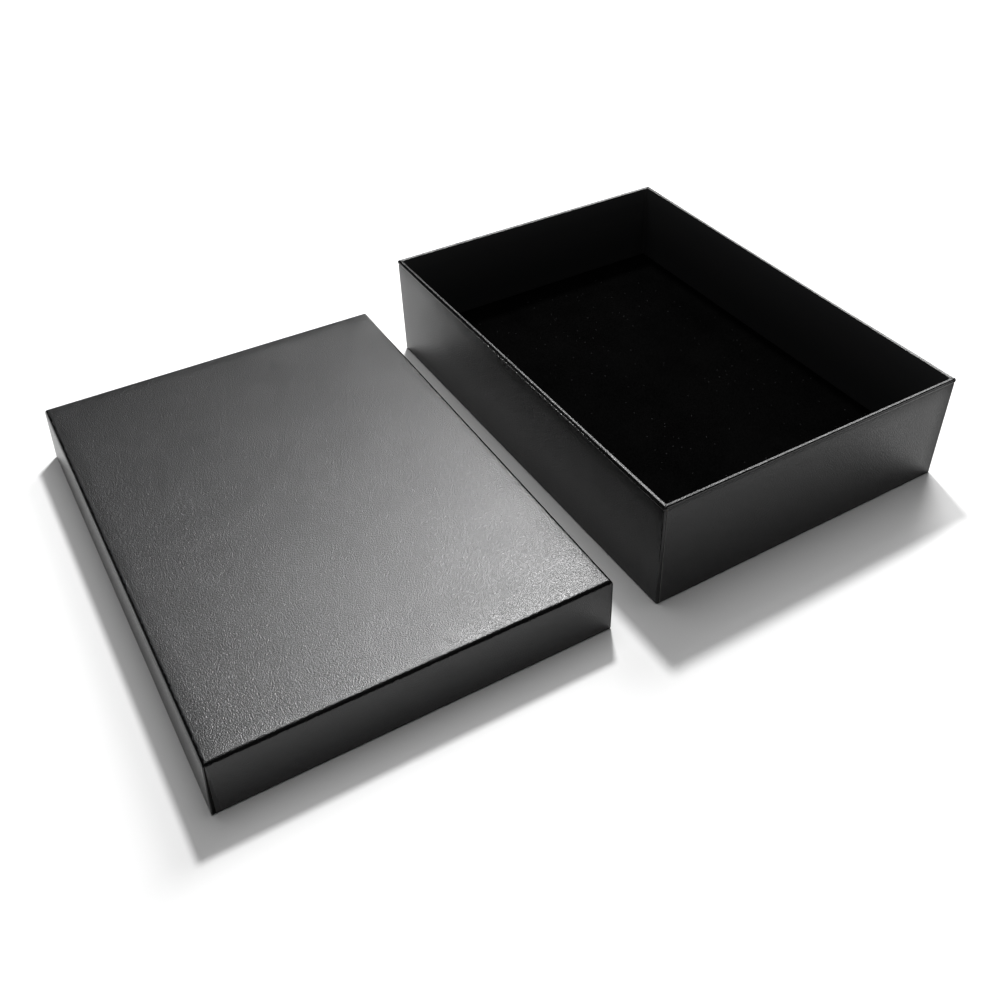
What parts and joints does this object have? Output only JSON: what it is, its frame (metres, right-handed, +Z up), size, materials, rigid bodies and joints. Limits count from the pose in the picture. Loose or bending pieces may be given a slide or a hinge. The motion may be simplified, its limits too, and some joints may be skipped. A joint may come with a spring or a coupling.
{
  "type": "gift box",
  "caption": "Rigid rectangular gift box wrapped in black leather-grain paper: an open base with a black velvet pad in its floor, and a separate telescoping lid lying beside it.",
  "frame": {"origin": "centre of the base's underside, on the surface it stands on", "axes": "+X across the base, away from the lid; +Y along the base's length, from its near end to its far end; +Z up"},
  "size_m": [0.459, 0.3089, 0.07],
  "materials": {
    "leather_grain_paper": "satin",
    "greyboard": "matte",
    "corner_tape": "matte",
    "pad_velvet": "matte",
    "pad_foam": "matte",
    "pad_card": "matte",
    "lining_paper": "matte"
  },
  "bodies": {
    "base": {"base_board": "greyboard", "base_stay_front_left": "corner_tape", "base_stay_front_right": "corner_tape", "base_stay_back_left": "corner_tape", "base_stay_back_right": "corner_tape", "base_wrap": "leather_grain_paper", "pad_card": "pad_card", "pad_foam": "pad_foam", "pad_velvet": "pad_velvet"},
    "lid": {"lid_board": "greyboard", "lid_stay_front_left": "corner_tape", "lid_stay_front_right": "corner_tape", "lid_stay_back_left": "corner_tape", "lid_stay_back_right": "corner_tape", "lid_wrap": "leather_grain_paper", "lid_lining": "lining_paper"}
  },
  "joints": [
    {"name": "lid_lift", "type": "slide", "parent": "base", "child": "lid", "axis": [0, 0, 1], "range_m": [0, 0.12]}
  ]
}
